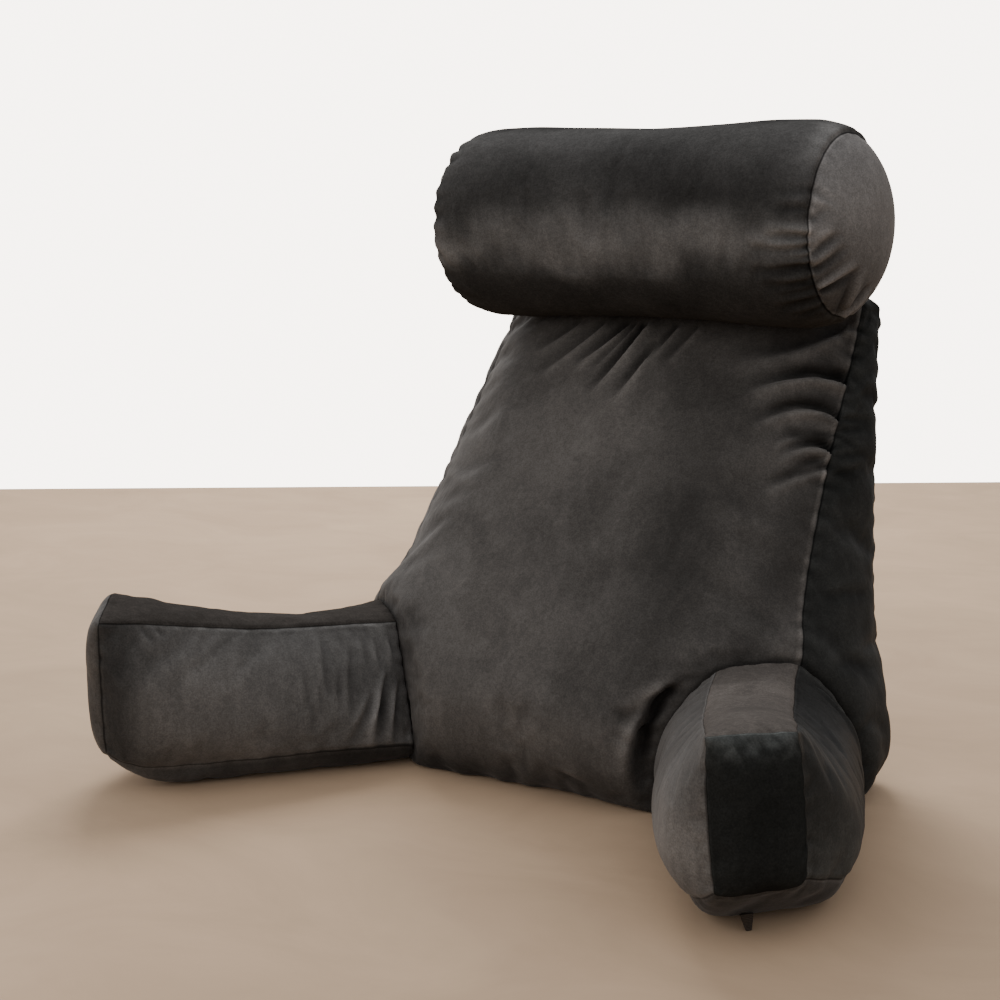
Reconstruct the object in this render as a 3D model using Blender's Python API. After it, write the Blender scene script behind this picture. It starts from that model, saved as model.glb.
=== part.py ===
"""A reading pillow with arms: a wedge-shaped back cushion, two arm cushions and a neck roll.

The sitter faces -Y, +X is to the right seen from the front, and the floor is z = 0.
Every cushion is one filled solid: its panels crown between the seams, and the seams are drawn in.
The tables measure y from the front line where the arms' seams meet the floor. The finished part
has its origin further back, in the middle of the back cushion's flat base.
"""

import math

import bmesh
import bpy
import numpy as np

# ---- driving sizes, metres -------------------------------------------------------------------
ORIGIN_BACK = 0.100  # from the arm seams' feet back to the origin
BACK_HEIGHT = 0.480
ROLL_RADIUS = 0.1005
ROLL_HALF = 0.222  # half the length between the two end seams
ROLL_CENTRE = np.array([0.000, 0.243, 0.5560])
ROLL_YAW = math.radians(-1.4)
GAP = 0.0003  # left between sewn neighbours
SEAT_GAP = 0.0009  # at the corners of the faces that the roll presses; their middles come closer

# Where the arms are sewn on: an upright plane through the inner foot of the seam
SEAM_FOOT = np.array([0.145, 0.000])
SEAM_HEADING = math.radians(38.8)
SEW_FADE = 0.040  # how far around an arm its seam draws the back cushion's cloth
SEW_SOFTNESS = 0.006

# ---- the back cushion, one row for each height -------------------------------------------------
# front seam: half width and y; front crown: how far the middle stands in front of the seam
BACK_COLUMNS = ("z", "seam_x", "seam_y", "front_crown", "side_crown", "rear_x", "rear_y", "rear_crown")
BACK_ROWS = (
    (0.000, 0.252, 0.060, 0.066, 0.016, 0.256, 0.205, 0.004),
    (0.012, 0.266, 0.050, 0.070, 0.030, 0.270, 0.216, 0.010),
    (0.045, 0.272, 0.052, 0.082, 0.036, 0.277, 0.228, 0.020),
    (0.090, 0.262, 0.062, 0.090, 0.034, 0.273, 0.236, 0.028),
    (0.150, 0.248, 0.096, 0.088, 0.022, 0.262, 0.250, 0.034),
    (0.220, 0.234, 0.142, 0.080, 0.016, 0.251, 0.266, 0.036),
    (0.300, 0.225, 0.197, 0.070, 0.013, 0.241, 0.288, 0.034),
    (0.380, 0.218, 0.254, 0.058, 0.010, 0.231, 0.311, 0.028),
    (0.440, 0.213, 0.298, 0.044, 0.008, 0.223, 0.332, 0.018),
    (0.470, 0.210, 0.318, 0.026, 0.006, 0.217, 0.344, 0.010),
    (BACK_HEIGHT, 0.204, 0.326, 0.008, 0.002, 0.208, 0.343, 0.003),
)
# the front draws in along its foot: middle in x, half width, half height, depth
FOOT_HOLLOW = (0.035, 0.085, 0.030, 0.014)
BACK_FRONT_STEPS = 32
BACK_SIDE_STEPS = 8
BACK_LEVELS = 38

# ---- an arm cushion, one row for each station from the seam to the tip -------------------------
# x, y: middle of the top gusset in plan; turn: heading of the gusset's width, degrees from +X
# foot_out: the outer lower seam; puff_out: how far the outer face crowns past its seams
ARM_COLUMNS = ("s", "x", "y", "turn", "half_top", "foot_out", "puff_out", "top_crown")
ARM_ROWS = (
    (0.00, 0.2206, 0.0608, 38.8, 0.040, 0.082, 0.030, 0.004),
    (0.12, 0.2330, 0.0260, 39.5, 0.040, 0.090, 0.031, 0.006),
    (0.30, 0.2560, -0.0290, 42.0, 0.041, 0.096, 0.030, 0.008),
    (0.50, 0.2820, -0.0880, 45.0, 0.041, 0.098, 0.028, 0.009),
    (0.70, 0.3080, -0.1420, 48.0, 0.041, 0.095, 0.026, 0.009),
    (0.80, 0.3210, -0.1680, 50.0, 0.041, 0.092, 0.025, 0.008),
    (0.87, 0.3310, -0.1880, 51.0, 0.041, 0.087, 0.023, 0.007),
    (0.94, 0.3410, -0.2090, 53.0, 0.041, 0.074, 0.017, 0.005),
    (1.00, 0.3500, -0.2275, 54.0, 0.041, 0.052, 0.002, 0.002),
)
ARM_LENGTH = 0.316  # along the arm, from the seam to the tip
# arm by arm: the inner lower seam and the inner face's crown, then the heights of the two upper
# seams, of the lower seams and of the underside
SIDE_COLUMNS = ("s", "foot_in", "puff_in", "top_in", "top_out", "foot_z", "belly")
SIDE_ROWS = {
    -1: (
        (0.00, 0.112, 0.003, 0.138, 0.145, 0.024, 0.000),
        (0.12, 0.108, 0.014, 0.142, 0.141, 0.028, 0.000),
        (0.30, 0.092, 0.022, 0.147, 0.138, 0.029, 0.000),
        (0.50, 0.075, 0.026, 0.153, 0.146, 0.028, 0.000),
        (0.70, 0.059, 0.029, 0.163, 0.160, 0.028, 0.000),
        (0.80, 0.052, 0.028, 0.168, 0.168, 0.028, 0.002),
        (0.87, 0.047, 0.025, 0.172, 0.177, 0.029, 0.007),
        (0.94, 0.039, 0.016, 0.175, 0.184, 0.034, 0.020),
        (1.00, 0.030, 0.002, 0.178, 0.191, 0.043, 0.037),
    ),
    1: (
        (0.00, 0.084, 0.026, 0.141, 0.146, 0.013, 0.000),
        (0.12, 0.074, 0.029, 0.141, 0.141, 0.019, 0.000),
        (0.30, 0.062, 0.030, 0.141, 0.139, 0.026, 0.000),
        (0.50, 0.060, 0.031, 0.147, 0.144, 0.028, 0.000),
        (0.70, 0.056, 0.030, 0.158, 0.155, 0.029, 0.000),
        (0.80, 0.052, 0.028, 0.165, 0.162, 0.030, 0.005),
        (0.87, 0.047, 0.025, 0.170, 0.167, 0.033, 0.014),
        (0.94, 0.039, 0.016, 0.175, 0.171, 0.041, 0.029),
        (1.00, 0.030, 0.002, 0.179, 0.174, 0.051, 0.046),
    ),
}
ARM_FACE_STEPS = 12
ARM_GUSSET_STEPS = 6
ARM_STATIONS = 24
ARM_TIP_CROWN = 0.020

# ---- the neck roll, one row for each station out from the middle --------------------------------
ROLL_COLUMNS = ("along", "radius", "ripple")
ROLL_ROWS = (
    (0.00, 0.975, 0.0000),
    (0.40, 0.995, 0.0000),
    (0.68, 1.022, 0.0003),
    (0.84, 1.020, 0.0010),
    (0.93, 0.985, 0.0022),
    (0.98, 0.940, 0.0030),
    (1.00, 0.905, 0.0022),
)
ROLL_SIDES = 64
ROLL_STATIONS = 22
ROLL_END_RINGS = 5
ROLL_END_CROWNS = {-1: 0.022, 1: 0.038}
ROLL_PLEATS = 19

# ---- main folds: a trough has a depth above zero, a ridge below zero ---------------------------
# each runs from one point to another of its panel and fades to the second one
FOLD_COLUMNS = ("along0", "up0", "along1", "up1", "half_width", "depth")
# on the back cushion's front: x and z
FRONT_FOLDS = (
    (0.212, 0.410, 0.150, 0.394, 0.012, 0.008),
    (0.212, 0.395, 0.160, 0.383, 0.010, -0.003),
    (0.211, 0.382, 0.153, 0.365, 0.012, 0.008),
    (0.217, 0.345, 0.190, 0.341, 0.010, 0.007),
    (0.213, 0.319, 0.188, 0.309, 0.010, 0.005),
    (-0.034, 0.447, -0.060, 0.372, 0.012, 0.005),
    (-0.010, 0.442, -0.034, 0.374, 0.012, 0.004),
    (0.158, 0.118, 0.129, 0.042, 0.009, 0.010),
    (0.150, 0.124, 0.124, 0.092, 0.009, 0.005),
    (-0.151, 0.060, -0.147, 0.020, 0.008, 0.004),
)
# on the arms' inner faces: the way along from the seam and the height above the floor
ARM_FOLDS = {
    -1: (
        (0.013, 0.094, 0.035, 0.017, 0.008, 0.007),
        (0.047, 0.052, 0.082, 0.008, 0.009, 0.004),
        (0.082, 0.110, 0.092, 0.069, 0.009, 0.003),
    ),
    1: (
        (0.016, 0.102, 0.025, 0.042, 0.009, 0.004),
        (0.044, 0.087, 0.057, 0.031, 0.010, 0.003),
    ),
}

# ---- the pull tab that hangs from the right arm's lower seam ------------------------------------
TAB_TOP = np.array([0.3320, -0.1900, 0.0133])
TAB_LIFT = 0.0010  # the tip stops just above the floor
TAB_WIDTH = 0.0120
TAB_THICKNESS = 0.0030
TAB_TIP_WIDTH = 0.0050

VELVET = (0.022, 0.020, 0.019)
TAPE = (0.020, 0.013, 0.009)


# ---- small helpers ------------------------------------------------------------------------------
def table(columns, rows):
    return {name: np.array([row[i] for row in rows], float) for i, name in enumerate(columns)}


def smooth_rows(rows, key, at):
    """Reads every column of a table at the given values of its key column, on smooth curves."""
    knots = rows[key]
    step = np.diff(knots)
    cell = np.clip(np.searchsorted(knots, at, side="right") - 1, 0, len(step) - 1)
    share = (at - knots[cell]) / step[cell]
    read = {}
    for name, values in rows.items():
        slope = np.diff(values) / step
        inner = np.where(slope[:-1] * slope[1:] > 0,
                         2 * slope[:-1] * slope[1:] / (slope[:-1] + slope[1:] + 1e-12), 0)
        tangent = np.concatenate([slope[:1], inner, slope[-1:]])
        a, b = values[cell], values[cell + 1]
        ta, tb = tangent[cell] * step[cell], tangent[cell + 1] * step[cell]
        cube, square = share**3, share**2
        read[name] = ((2 * cube - 3 * square + 1) * a + (cube - 2 * square + share) * ta
                      + (3 * square - 2 * cube) * b + (cube - square) * tb)
    return read


def crown(t, square=2.6, steep=0.72):
    """Height of a stuffed panel between two seams, for t from -1 to 1: 1 in the middle, 0 at a seam."""
    return np.clip(1 - np.abs(t) ** square, 0, 1) ** steep


def spread(steps):
    """Steps from -1 to 1, closer together near the seams."""
    t = np.linspace(-1, 1, steps + 1)
    return 0.55 * t + 0.45 * np.sin(t * math.pi / 2)


def fill_between(first, last, start, end):
    """Grid of points inside four edges: first and last run the long way, start and end join them."""
    u = np.linspace(0, 1, len(first))[:, None, None]
    v = np.linspace(0, 1, len(start))[None, :, None]
    lengthwise = (1 - v) * first[:, None] + v * last[:, None]
    across = (1 - u) * start[None] + u * end[None]
    corners = ((1 - u) * (1 - v) * first[0] + u * (1 - v) * first[-1]
               + (1 - u) * v * last[0] + u * v * last[-1])
    return lengthwise + across - corners


def boxed_solid(name, rings, long_steps, short_steps, start_push, end_push, colour):
    """A closed cushion from rings of four panels each, with a filled panel at either end.

    A ring runs along the first long panel, the first short one, the second long one and back.
    The pushes are grids of vectors that crown the two end panels.
    """
    count = len(rings[0])
    points = [p for ring in rings for p in ring]
    faces = []
    for level in range(len(rings) - 1):
        for i in range(count):
            j = (i + 1) % count
            a, b = level * count, (level + 1) * count
            faces.append((a + i, a + j, b + j, b + i))
    for level, push, flip in ((0, start_push, True), (len(rings) - 1, end_push, False)):
        ring = rings[level]
        first = ring[: long_steps + 1]
        last = ring[long_steps + short_steps: 2 * long_steps + short_steps + 1][::-1]
        end = ring[long_steps: long_steps + short_steps + 1]
        start = np.concatenate([ring[:1], ring[2 * long_steps + short_steps:][::-1]])
        grid = fill_between(first, last, start, end) + push
        index = np.zeros((long_steps + 1, short_steps + 1), int)
        base = level * count
        index[:, 0] = base + np.arange(long_steps + 1)
        index[-1, :] = base + long_steps + np.arange(short_steps + 1)
        index[:, -1] = base + 2 * long_steps + short_steps - np.arange(long_steps + 1)
        index[0, 1:] = base + (count - np.arange(1, short_steps + 1)) % count
        for i in range(1, long_steps):
            for j in range(1, short_steps):
                index[i, j] = len(points)
                points.append(grid[i, j])
        for i in range(long_steps):
            for j in range(short_steps):
                quad = (index[i, j], index[i + 1, j], index[i + 1, j + 1], index[i, j + 1])
                faces.append(quad[::-1] if flip else quad)
    return make_object(name, points, faces, colour)


def make_object(name, points, faces, colour):
    mesh = bpy.data.meshes.new(name)
    placed = np.array(points) - (0, ORIGIN_BACK, 0)
    mesh.from_pydata(placed.tolist(), [], [tuple(map(int, f)) for f in faces])
    mesh.validate()
    mesh.update()
    mesh.shade_smooth()
    mesh.materials.append(cloth(name + "_cloth", colour))
    obj = bpy.data.objects.new(name, mesh)
    bpy.data.collections["reading_pillow"].objects.link(obj)
    return obj


def cloth(name, colour):
    material = bpy.data.materials.new(name)
    material.use_nodes = True
    shader = material.node_tree.nodes["Principled BSDF"]
    shader.inputs["Base Color"].default_value = (*colour, 1)
    shader.inputs["Roughness"].default_value = 0.9
    shader.inputs["Metallic"].default_value = 0
    return material


def fold_depth(folds, along, up):
    """How deep the folds of a table draw the cloth in, at each point of a panel."""
    fold = table(FOLD_COLUMNS, folds)
    run, rise = fold["along1"] - fold["along0"], fold["up1"] - fold["up0"]
    from_x, from_z = along[:, None] - fold["along0"], up[:, None] - fold["up0"]
    share = np.clip((from_x * run + from_z * rise) / (run * run + rise * rise), 0, 1)
    away = np.hypot(from_x - share * run, from_z - share * rise) / fold["half_width"]
    return (fold["depth"] * np.exp(-away * away) * (1 - 0.5 * share * share)).sum(1)


# ---- where the arms are sewn to the back --------------------------------------------------------
def seam_axes(side):
    """Foot, width direction and outward normal of an arm's seam plane, in plan."""
    c, s = math.cos(SEAM_HEADING), math.sin(SEAM_HEADING)
    return SEAM_FOOT * (side, 1), np.array([side * c, s]), np.array([side * s, -c])


def distance_inside(polygon, u, v):
    """Signed distance from (u, v) to a closed polygon, above zero inside it."""
    best = np.full(u.shape, 1e9)
    inside = np.zeros(u.shape, bool)
    for (x0, y0), (x1, y1) in zip(polygon, np.roll(polygon, -1, 0)):
        dx, dy = x1 - x0, y1 - y0
        share = np.clip(((u - x0) * dx + (v - y0) * dy) / (dx * dx + dy * dy + 1e-12), 0, 1)
        best = np.minimum(best, np.hypot(u - x0 - share * dx, v - y0 - share * dy))
        crosses = (y0 > v) != (y1 > v)
        inside ^= crosses & (u < x0 + (v - y0) * dx / (dy if abs(dy) > 1e-12 else 1e-12))
    return np.where(inside, best, -best)


def sew_to_arms(points):
    """Draws the back cushion's cloth onto the two seam planes, inside each arm's outline."""
    moved = points.copy()
    for side in (-1, 1):
        foot, across, outward = seam_axes(side)
        outline = arm_rings(side)[0]
        polygon = np.stack([(outline[:, :2] - foot) @ across, outline[:, 2]], 1)
        flat = points[:, :2] - foot
        off = flat @ outward
        inside = distance_inside(polygon, flat @ across, points[:, 2])
        weight = np.clip(1 + inside / SEW_FADE, 0, 1)
        weight = weight * weight * (3 - 2 * weight)
        behind = off + GAP
        held = 0.5 * (behind - np.sqrt(behind * behind + SEW_SOFTNESS**2)) - GAP
        target = held * (1 - weight) - GAP * weight
        beside = (points[:, 0] * side > 0) & (off > -0.09)
        moved[:, :2] += np.outer(np.where(beside, target - off, 0), outward)
    return moved


# ---- the neck roll's own frame ------------------------------------------------------------------
def roll_axes():
    return np.array([math.cos(ROLL_YAW), math.sin(ROLL_YAW), 0]), np.array(
        [-math.sin(ROLL_YAW), math.cos(ROLL_YAW), 0])


def press_under_roll(points):
    """Pushes the back cushion's cloth out of the space that the neck roll fills."""
    along, across = roll_axes()
    rows = table(ROLL_COLUMNS, ROLL_ROWS)
    offset = points - ROLL_CENTRE
    station = offset @ along
    y, z = offset @ across, offset[:, 2]
    share = np.clip(np.abs(station) / ROLL_HALF, 0, 1)
    read = smooth_rows(rows, "along", share)
    radius = ROLL_RADIUS * read["radius"] + 0.6 * read["ripple"] + SEAT_GAP
    crowns = np.where(station > 0, ROLL_END_CROWNS[1], ROLL_END_CROWNS[-1])
    past = np.clip((np.abs(station) - ROLL_HALF) / crowns, 0, 1)
    radius = radius * np.sqrt(1 - past**2)
    reach = np.hypot(y, z)
    hit = (reach < radius) & (z < 0.02)
    push = np.where(hit, radius / np.maximum(reach, 1e-6), 1)
    moved = points.copy()
    moved += np.outer(y * (push - 1), across)
    moved[:, 2] += z * (push - 1)
    return moved


# ---- the cushions -------------------------------------------------------------------------------
def back_ring(row):
    front = spread(BACK_FRONT_STEPS)
    side = spread(BACK_SIDE_STEPS)
    z = row["z"]
    front_edge = np.stack([row["seam_x"] * front,
                           row["seam_y"] - row["front_crown"] * crown(front, 3.4, 0.7),
                           np.full(len(front), z)], 1)
    share = (side + 1) / 2
    right = np.stack([row["seam_x"] + share * (row["rear_x"] - row["seam_x"])
                      + row["side_crown"] * crown(side),
                      row["seam_y"] + share * (row["rear_y"] - row["seam_y"]),
                      np.full(len(side), z)], 1)
    rear_edge = np.stack([-row["rear_x"] * front,
                          row["rear_y"] + row["rear_crown"] * crown(front),
                          np.full(len(front), z)], 1)
    left = right[::-1] * (-1, 1, 1)
    return np.concatenate([front_edge, right[1:], rear_edge[1:], left[1:-1]])


def back_points():
    """All the rings of the back cushion, sewn to the arms, folded and pressed by the roll."""
    rows = table(BACK_COLUMNS, BACK_ROWS)
    even = np.linspace(0, 1, BACK_LEVELS + 1)
    levels = BACK_HEIGHT * (0.6 * even + 0.4 * (1 - np.cos(even * math.pi)) / 2)
    read = smooth_rows(rows, "z", levels)
    rings = [back_ring({k: v[i] for k, v in read.items()}) for i in range(len(levels))]
    count = len(rings[0])
    points = np.concatenate(rings)
    points = sew_to_arms(points)
    facing_front = np.tile(np.arange(count) <= BACK_FRONT_STEPS, len(rings))
    points[facing_front, 1] += fold_depth(FRONT_FOLDS, points[facing_front, 0], points[facing_front, 2])
    middle, half_width, half_height, depth = FOOT_HOLLOW
    drawn_in = np.exp(-((points[:, 0] - middle) / half_width) ** 2 - (points[:, 2] / half_height) ** 2)
    points[facing_front, 1] += depth * drawn_in[facing_front]
    points = press_under_roll(points)
    return points.reshape(len(levels), count, 3)


def make_back():
    rings = back_points()
    shape = (BACK_FRONT_STEPS + 1, BACK_SIDE_STEPS + 1)
    flat = np.zeros((*shape, 3))
    lift = crown(spread(BACK_FRONT_STEPS), 6, 0.5)[:, None] * crown(spread(BACK_SIDE_STEPS))[None]
    top = np.zeros((*shape, 3))
    top[:, :, 2] = 0.004 * lift
    boxed_solid("back_cushion", rings, BACK_FRONT_STEPS, BACK_SIDE_STEPS, flat, top, VELVET)


def arm_ring(row, side):
    """One ring of an arm: inner face upward, top gusset, outer face downward, underside."""
    face, gusset = spread(ARM_FACE_STEPS), spread(ARM_GUSSET_STEPS)
    up, over = (face + 1) / 2, (gusset + 1) / 2
    rise_in = row["foot_z"] + up * (row["top_in"] - row["foot_z"])
    rise_out = row["foot_z"] + up * (row["top_out"] - row["foot_z"])
    inner = row["foot_in"] + up * (row["half_top"] - row["foot_in"]) + row["puff_in"] * crown(face)
    inner -= fold_depth(ARM_FOLDS[side], np.full(len(up), row["s"] * ARM_LENGTH), rise_in)
    outer = row["foot_out"] + up * (row["half_top"] - row["foot_out"]) + row["puff_out"] * crown(face)
    top_z = row["top_in"] + over * (row["top_out"] - row["top_in"]) + row["top_crown"] * crown(gusset)
    under = row["foot_out"] - over * (row["foot_in"] + row["foot_out"])
    under_z = row["foot_z"] - (row["foot_z"] - row["belly"]) * crown(gusset, 5, 0.55)
    u = np.concatenate([-inner, row["half_top"] * gusset[1:], outer[::-1][1:], under[1:-1]])
    z = np.concatenate([rise_in, top_z[1:], rise_out[::-1][1:], under_z[1:-1]])
    turn = math.radians(row["turn"])
    return np.stack([row["x"] + u * math.cos(turn), row["y"] + u * math.sin(turn), z], 1)


def arm_rings(side):
    """All the rings of one arm, from its seam on the back cushion to its tip."""
    even = np.linspace(0, 1, ARM_STATIONS + 1)
    stations = 0.55 * even + 0.45 * (1 - np.cos(even * math.pi)) / 2
    read = smooth_rows(table(ARM_COLUMNS, ARM_ROWS), "s", stations)
    read.update(smooth_rows(table(SIDE_COLUMNS, SIDE_ROWS[side]), "s", stations))
    rings = [arm_ring({k: v[i] for k, v in read.items()}, side) * (side, 1, 1)
             for i in range(len(stations))]
    foot, _, outward = seam_axes(side)
    off = (rings[0][:, :2] - foot) @ outward
    rings[0][:, :2] -= np.outer(off, outward)
    return rings


def make_arm(name, side):
    rings = arm_rings(side)
    shape = (ARM_FACE_STEPS + 1, ARM_GUSSET_STEPS + 1)
    flat = np.zeros((*shape, 3))
    lift = (crown(spread(ARM_FACE_STEPS), 4, 0.55)[:, None]
            * crown(spread(ARM_GUSSET_STEPS), 4, 0.55)[None])
    turn = math.radians(ARM_ROWS[-1][3])
    facing = np.array([side * math.sin(turn), -math.cos(turn), 0])
    end = ARM_TIP_CROWN * lift[:, :, None] * facing
    obj = boxed_solid(name, rings, ARM_FACE_STEPS, ARM_GUSSET_STEPS, flat, end, VELVET)
    if side > 0:
        obj.data.flip_normals()
    return obj


def make_roll():
    rows = table(ROLL_COLUMNS, ROLL_ROWS)
    along, across = roll_axes()
    even = np.linspace(-1, 1, ROLL_STATIONS + 1)
    stations = 0.35 * even + 0.65 * np.sin(even * math.pi / 2)
    read = smooth_rows(rows, "along", np.abs(stations))
    angle = np.arange(ROLL_SIDES) * 2 * math.pi / ROLL_SIDES
    pleat = np.cos(ROLL_PLEATS * angle + 0.9 * np.sin(2 * angle) + 0.6 * np.sin(3 * angle + 1))
    circle = np.outer(np.cos(angle), across) + np.outer(np.sin(angle), (0, 0, 1))
    rings = []
    for station, radius, ripple in zip(stations, read["radius"], read["ripple"]):
        size = ROLL_RADIUS * radius + ripple * (pleat - 0.4)
        rings.append(ROLL_CENTRE + station * ROLL_HALF * along + circle * size[:, None])
    for end in (-1, 1):
        seam = rings[0] if end < 0 else rings[-1]
        hub = ROLL_CENTRE + end * ROLL_HALF * along
        caps = []
        for k in range(1, ROLL_END_RINGS):
            share = 1 - k / ROLL_END_RINGS
            rise = ROLL_END_CROWNS[end] * (1 - share**2.4) ** 0.8
            plain = ROLL_RADIUS * ROLL_ROWS[-1][1] * circle
            ring = plain + (seam - hub - plain) * share**3
            caps.append(hub + ring * share + end * rise * along)
        rings = caps[::-1] + rings if end < 0 else rings + caps
    points = [p for ring in rings for p in ring]
    faces = []
    for level in range(len(rings) - 1):
        for i in range(ROLL_SIDES):
            j = (i + 1) % ROLL_SIDES
            a, b = level * ROLL_SIDES, (level + 1) * ROLL_SIDES
            faces.append((a + i, a + j, b + j, b + i))
    for end, level in ((-1, 0), (1, len(rings) - 1)):
        tip = len(points)
        points.append(ROLL_CENTRE + end * (ROLL_HALF + ROLL_END_CROWNS[end]) * along)
        for i in range(ROLL_SIDES):
            j = (i + 1) % ROLL_SIDES
            a = level * ROLL_SIDES
            faces.append((a + j, a + i, tip) if end < 0 else (a + i, a + j, tip))
    make_object("neck_roll", points, faces, VELVET)


def make_tab():
    """A short tapered tape that hangs from the arm's underside, almost to the floor."""
    mesh = bpy.data.meshes.new("pull_tab")
    shape = bmesh.new()
    bmesh.ops.create_cube(shape, size=1)
    bmesh.ops.bevel(shape, geom=[e for e in shape.edges if abs(e.verts[0].co.z + e.verts[1].co.z) < 0.5],
                    offset=0.18, segments=1, affect="EDGES")
    for vert in shape.verts:
        low = 0.5 - vert.co.z
        width = TAB_WIDTH + low * (TAB_TIP_WIDTH - TAB_WIDTH)
        vert.co = (vert.co.x * width, vert.co.y * TAB_THICKNESS - 0.004 * low,
                   TAB_LIFT + (1 - low) * (TAB_TOP[2] - TAB_LIFT))
    shape.to_mesh(mesh)
    shape.free()
    mesh.materials.append(cloth("pull_tab_tape", TAPE))
    obj = bpy.data.objects.new("pull_tab", mesh)
    obj.location = (TAB_TOP[0], TAB_TOP[1] - ORIGIN_BACK, 0)
    obj.rotation_euler = (0, 0, math.radians(ARM_ROWS[-1][3]))
    bpy.data.collections["reading_pillow"].objects.link(obj)


def main():
    for obj in list(bpy.data.objects):
        bpy.data.objects.remove(obj)
    collection = bpy.data.collections.new("reading_pillow")
    bpy.context.scene.collection.children.link(collection)
    make_back()
    make_arm("arm_left", -1)
    make_arm("arm_right", 1)
    make_roll()
    make_tab()


main()
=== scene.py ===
# A reading pillow with arms in black velour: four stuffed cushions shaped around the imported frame.
import math

import bpy
import numpy as np
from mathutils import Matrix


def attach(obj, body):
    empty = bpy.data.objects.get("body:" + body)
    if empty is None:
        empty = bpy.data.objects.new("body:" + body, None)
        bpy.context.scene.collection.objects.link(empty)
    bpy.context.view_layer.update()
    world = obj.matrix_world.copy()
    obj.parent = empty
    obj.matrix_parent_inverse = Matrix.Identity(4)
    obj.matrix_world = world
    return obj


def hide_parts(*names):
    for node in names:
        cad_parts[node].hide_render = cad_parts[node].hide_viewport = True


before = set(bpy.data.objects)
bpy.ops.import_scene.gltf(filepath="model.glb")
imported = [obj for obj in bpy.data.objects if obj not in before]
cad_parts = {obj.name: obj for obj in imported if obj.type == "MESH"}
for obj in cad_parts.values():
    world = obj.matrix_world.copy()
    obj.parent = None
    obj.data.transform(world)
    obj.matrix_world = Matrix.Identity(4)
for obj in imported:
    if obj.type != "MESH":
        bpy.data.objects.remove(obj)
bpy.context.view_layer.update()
scene = bpy.context.scene
print("frame loaded:", ", ".join(sorted(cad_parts)))

origin = np.array([0, 0.1, 0])  # the tables measure y from the arm seams' feet, the frame from further back


def readRows(columns, rows, at):
    # every column of a table at the given values of its first one, on smooth curves
    rows = np.array(rows, float)
    knots = rows[:, 0]
    step = np.diff(knots)
    cell = np.clip(np.searchsorted(knots, at, side="right") - 1, 0, len(step) - 1)
    share = ((at - knots[cell]) / step[cell])[:, None]
    slope = np.diff(rows, axis=0) / step[:, None]
    product = slope[:-1] * slope[1:]
    inner = np.where(product > 0, 2 * product / (slope[:-1] + slope[1:] + 1e-12), 0)
    tangent = np.concatenate([slope[:1], inner, slope[-1:]])
    startTangent = tangent[cell] * step[cell][:, None]
    endTangent = tangent[cell + 1] * step[cell][:, None]
    cube, square = share**3, share**2
    values = ((2 * cube - 3 * square + 1) * rows[cell] + (cube - 2 * square + share) * startTangent
              + (3 * square - 2 * cube) * rows[cell + 1] + (cube - square) * endTangent)
    return dict(zip(columns, values.T))


def crown(t, square=2.6, steep=0.72):
    # height of a stuffed panel between two seams: 1 in the middle, 0 at a seam
    return np.clip(1 - np.abs(t) ** square, 0, 1) ** steep


def spread(steps):
    # from -1 to 1, closer together near the seams
    t = np.linspace(-1, 1, steps + 1)
    return 0.55 * t + 0.45 * np.sin(t * math.pi / 2)


def fillBetween(first, last, start, end):
    u = np.linspace(0, 1, len(first))[:, None, None]
    v = np.linspace(0, 1, len(start))[None, :, None]
    lengthwise = (1 - v) * first[:, None] + v * last[:, None]
    across = (1 - u) * start[None] + u * end[None]
    corners = ((1 - u) * (1 - v) * first[0] + u * (1 - v) * first[-1]
               + (1 - u) * v * last[0] + u * v * last[-1])
    return lengthwise + across - corners


# how strongly folds get painted shade above their edge and a painted highlight on their lip
foldShadeAndHighlight = {"fullDepth": 0.0085, "fade": 0.7, "light": 1.2, "dark": 0.88}


def handFolds(rows, a, b):
    # folds in mm: a soft trough from (a0, b0) to (a1, b1), a raised lip beside it, painted shade above its
    # edge and a painted highlight on the lip
    # bow is how far its middle bends sideways, start its strength where it begins
    lift, tone = np.zeros(len(a)), np.ones(len(a))
    for *lengths, start, lip in rows:
        a0, b0, a1, b1, width, depth, bow = np.array(lengths) / 1000
        run, rise = a1 - a0, b1 - b0
        length = math.hypot(run, rise)
        along = ((a - a0) * run + (b - b0) * rise) / length
        share = np.clip(along / length, 0, 1)
        bend = share**0.8
        across = ((b - b0) * run - (a - a0) * rise) / length - 4 * bow * bend * (1 - bend)
        past = along - share * length
        ramp = start + (1 - start) * np.sin(math.pi / 2 * np.clip(share / 0.4, 0, 1))
        strength = ramp * (1 - share**2.8) * np.exp(-(past / width) ** 2)
        x = math.copysign(1, lip) * across / (width * (0.75 + 0.5 * share))
        trough = -np.exp(-x * x)
        raised = abs(lip) * np.exp(-((x - 1.75) / 1.05) ** 2)
        lift += depth * strength * (trough + raised)
        # painted shade above the fold's edge and painted highlight on its lip
        dark = np.exp(-((x + 0.35) / np.where(x < -0.35, 1.5, 0.75)) ** 2)
        light = np.exp(-((x - 1.35) / np.where(x < 1.35, 0.55, 1.6)) ** 2)
        contrast = min(1, (depth / foldShadeAndHighlight["fullDepth"]) ** foldShadeAndHighlight["fade"])
        tone *= 1 + contrast * strength * (foldShadeAndHighlight["light"] * light - foldShadeAndHighlight["dark"] * dark)
    return lift, tone


def clouds(points, size, seed):
    # soft random patches of about a given size, between -1 and 1
    random = np.random.default_rng(seed)
    waves = random.normal(size=(30, 3)) * math.pi / size
    phases = random.uniform(0, 2 * math.pi, 30)
    return np.tanh(0.25 * np.sin(points @ waves.T + phases).sum(1))


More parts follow.
